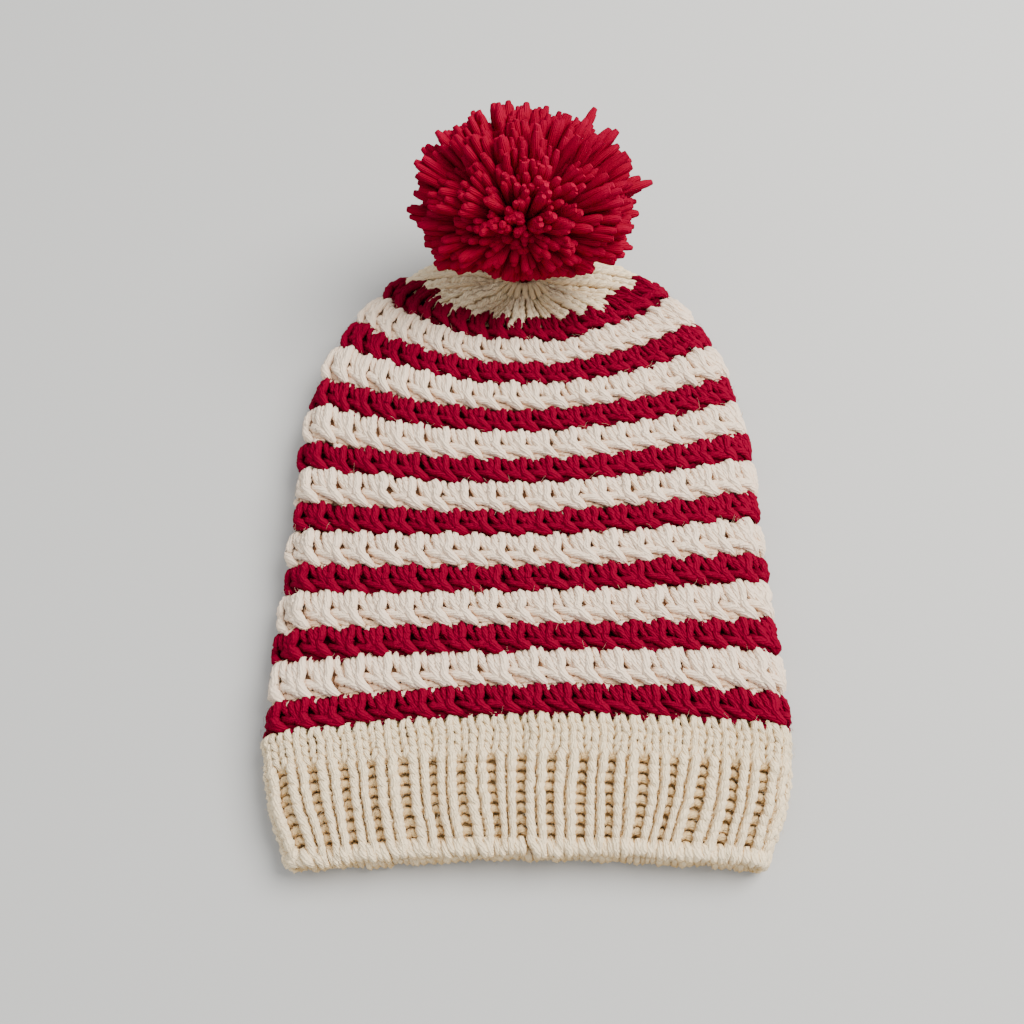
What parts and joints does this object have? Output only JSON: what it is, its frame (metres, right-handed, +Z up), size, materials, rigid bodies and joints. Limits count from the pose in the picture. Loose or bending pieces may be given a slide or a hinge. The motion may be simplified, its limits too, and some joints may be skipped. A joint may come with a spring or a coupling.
{
  "type": "pompom beanie",
  "caption": "Knitted wool beanie lying flat, with a ribbed brim, alternating stripes, a gathered crown and a round pompom tied to it.",
  "frame": {"origin": "bottom centre of the bounding box, on the surface that the hat lies on", "axes": "+Y from the mouth to the pompom, +X across the flattened hat, +Z up from the surface"},
  "size_m": [0.2248, 0.336, 0.1079],
  "materials": {
    "cream_wool": "knitted cream wool yarn",
    "red_wool": "knitted red wool yarn",
    "pompom_wool": "cut ends of raspberry red wool yarn"
  },
  "bodies": {
    "hat": {"cast_on_edge": "cream_wool", "rib_brim": "cream_wool", "plain_band": "cream_wool", "red_stripe_1": "red_wool", "cream_stripe_1": "cream_wool", "red_stripe_2": "red_wool", "cream_stripe_2": "cream_wool", "red_stripe_3": "red_wool", "cream_stripe_3": "cream_wool", "red_stripe_4": "red_wool", "cream_stripe_4": "cream_wool", "red_stripe_5": "red_wool", "cream_stripe_5": "cream_wool", "red_stripe_6": "red_wool", "cream_stripe_6": "cream_wool", "red_stripe_7": "red_wool", "cream_stripe_7": "cream_wool", "red_stripe_8": "red_wool", "crown_top": "cream_wool", "gather_yarn": "cream_wool"},
    "anchor": {"anchor_knot": "pompom_wool"},
    "tie": {"tie_shank": "pompom_wool"},
    "pompom": {"binding_tie": "pompom_wool", "pompom_ball": "pompom_wool"}
  },
  "joints": [
    {"name": "pompom_nod", "type": "hinge", "parent": "hat", "child": "anchor", "pos_m": [0, 0.1151, 0.021], "axis": [1, 0, 0], "range_deg": [-15, 15]},
    {"name": "pompom_sway", "type": "hinge", "parent": "anchor", "child": "tie", "pos_m": [0, 0.1151, 0.021], "axis": [0, 0.9659, -0.2588], "range_deg": [-15, 15]},
    {"name": "pompom_twist", "type": "hinge", "parent": "tie", "child": "pompom", "pos_m": [0, 0.1151, 0.021], "axis": [0, 0.2588, 0.9659], "range_deg": [-30, 30]}
  ]
}
